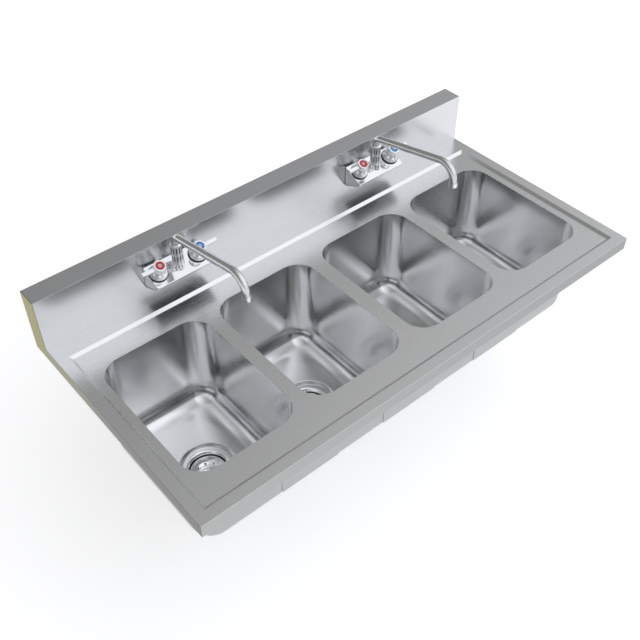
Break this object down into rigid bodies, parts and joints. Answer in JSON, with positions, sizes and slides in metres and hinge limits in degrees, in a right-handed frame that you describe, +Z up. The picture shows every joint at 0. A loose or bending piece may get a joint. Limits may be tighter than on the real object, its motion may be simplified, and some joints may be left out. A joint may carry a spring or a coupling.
{
  "type": "commercial sink top",
  "caption": "Stainless steel sink top with deep bowls in a recessed deck, a backsplash, basket drains and backsplash-mounted swing-spout faucets.",
  "frame": {"origin": "in the wall plane behind the backsplash, half way along the top, level with the rim", "axes": "+X along the top to the right, +Y to the wall, +Z up"},
  "size_m": [1.2192, 0.6096, 0.628],
  "materials": {
    "sheet_steel": "satin",
    "bowl_steel": "satin",
    "drain_steel": "polished",
    "faucet_chrome": "polished",
    "brass_parts": "machined",
    "locknut_metal": "cast",
    "black_rubber": "matte",
    "hot_index": "gloss",
    "cold_index": "gloss",
    "screw_steel": "satin"
  },
  "bodies": {
    "sink": {"deck_top": "sheet_steel", "backsplash": "sheet_steel", "left_end_cap": "sheet_steel", "right_end_cap": "sheet_steel", "bowl_webs": "sheet_steel", "bowl_1": "bowl_steel", "drain_body_1": "drain_steel", "bowl_2": "bowl_steel", "drain_body_2": "drain_steel", "bowl_3": "bowl_steel", "drain_body_3": "drain_steel", "bowl_4": "bowl_steel", "drain_body_4": "drain_steel", "drain_gaskets": "black_rubber", "drain_locknuts": "locknut_metal", "tailpieces": "faucet_chrome", "slip_nuts": "faucet_chrome", "faucet_body_1": "faucet_chrome", "spout_nut_1": "faucet_chrome", "handle_rings_1": "black_rubber", "hot_cartridge_1": "brass_parts", "cold_cartridge_1": "brass_parts", "faucet_body_2": "faucet_chrome", "spout_nut_2": "faucet_chrome", "handle_rings_2": "black_rubber", "hot_cartridge_2": "brass_parts", "cold_cartridge_2": "brass_parts", "wall_pads": "black_rubber", "inlet_shanks": "brass_parts", "shank_nuts": "brass_parts"},
    "hot_lever_1": {"hot_handle_1": "faucet_chrome", "hot_stem_1": "brass_parts", "hot_screw_1": "screw_steel", "hot_index_1": "hot_index"},
    "cold_lever_1": {"cold_handle_1": "faucet_chrome", "cold_stem_1": "brass_parts", "cold_screw_1": "screw_steel", "cold_index_1": "cold_index"},
    "swing_spout_1": {"spout_1": "faucet_chrome", "spout_ring_1": "black_rubber", "aerator_1": "faucet_chrome"},
    "hot_lever_2": {"hot_handle_2": "faucet_chrome", "hot_stem_2": "brass_parts", "hot_screw_2": "screw_steel", "hot_index_2": "hot_index"},
    "cold_lever_2": {"cold_handle_2": "faucet_chrome", "cold_stem_2": "brass_parts", "cold_screw_2": "screw_steel", "cold_index_2": "cold_index"},
    "swing_spout_2": {"spout_2": "faucet_chrome", "spout_ring_2": "black_rubber", "aerator_2": "faucet_chrome"},
    "strainer_1": {"basket_1": "drain_steel", "basket_seal_1": "black_rubber"},
    "strainer_2": {"basket_2": "drain_steel", "basket_seal_2": "black_rubber"},
    "strainer_3": {"basket_3": "drain_steel", "basket_seal_3": "black_rubber"},
    "strainer_4": {"basket_4": "drain_steel", "basket_seal_4": "black_rubber"}
  },
  "joints": [
    {"name": "hot_turn_1", "type": "hinge", "parent": "sink", "child": "hot_lever_1", "pos_m": [-0.33972, -0.0754, 0.0707], "axis": [0, -0.4226, 0.9063], "range_deg": [0, 90]},
    {"name": "cold_turn_1", "type": "hinge", "parent": "sink", "child": "cold_lever_1", "pos_m": [-0.23813, -0.0754, 0.0707], "axis": [0, -0.4226, 0.9063], "range_deg": [-90, 0]},
    {"name": "spout_swing_1", "type": "hinge", "parent": "sink", "child": "swing_spout_1", "pos_m": [-0.28892, -0.0778, 0.098], "axis": [0, 0, 1], "range_deg": [-90, 90]},
    {"name": "hot_turn_2", "type": "hinge", "parent": "sink", "child": "hot_lever_2", "pos_m": [0.23813, -0.0754, 0.0707], "axis": [0, -0.4226, 0.9063], "range_deg": [0, 90]},
    {"name": "cold_turn_2", "type": "hinge", "parent": "sink", "child": "cold_lever_2", "pos_m": [0.33972, -0.0754, 0.0707], "axis": [0, -0.4226, 0.9063], "range_deg": [-90, 0]},
    {"name": "spout_swing_2", "type": "hinge", "parent": "sink", "child": "swing_spout_2", "pos_m": [0.28892, -0.0778, 0.098], "axis": [0, 0, 1], "range_deg": [-90, 90]},
    {"name": "strainer_lift_1", "type": "slide", "parent": "sink", "child": "strainer_1", "axis": [0, 0, 1], "range_m": [0, 0.1]},
    {"name": "strainer_lift_2", "type": "slide", "parent": "sink", "child": "strainer_2", "axis": [0, 0, 1], "range_m": [0, 0.1]},
    {"name": "strainer_lift_3", "type": "slide", "parent": "sink", "child": "strainer_3", "axis": [0, 0, 1], "range_m": [0, 0.1]},
    {"name": "strainer_lift_4", "type": "slide", "parent": "sink", "child": "strainer_4", "axis": [0, 0, 1], "range_m": [0, 0.1]}
  ]
}
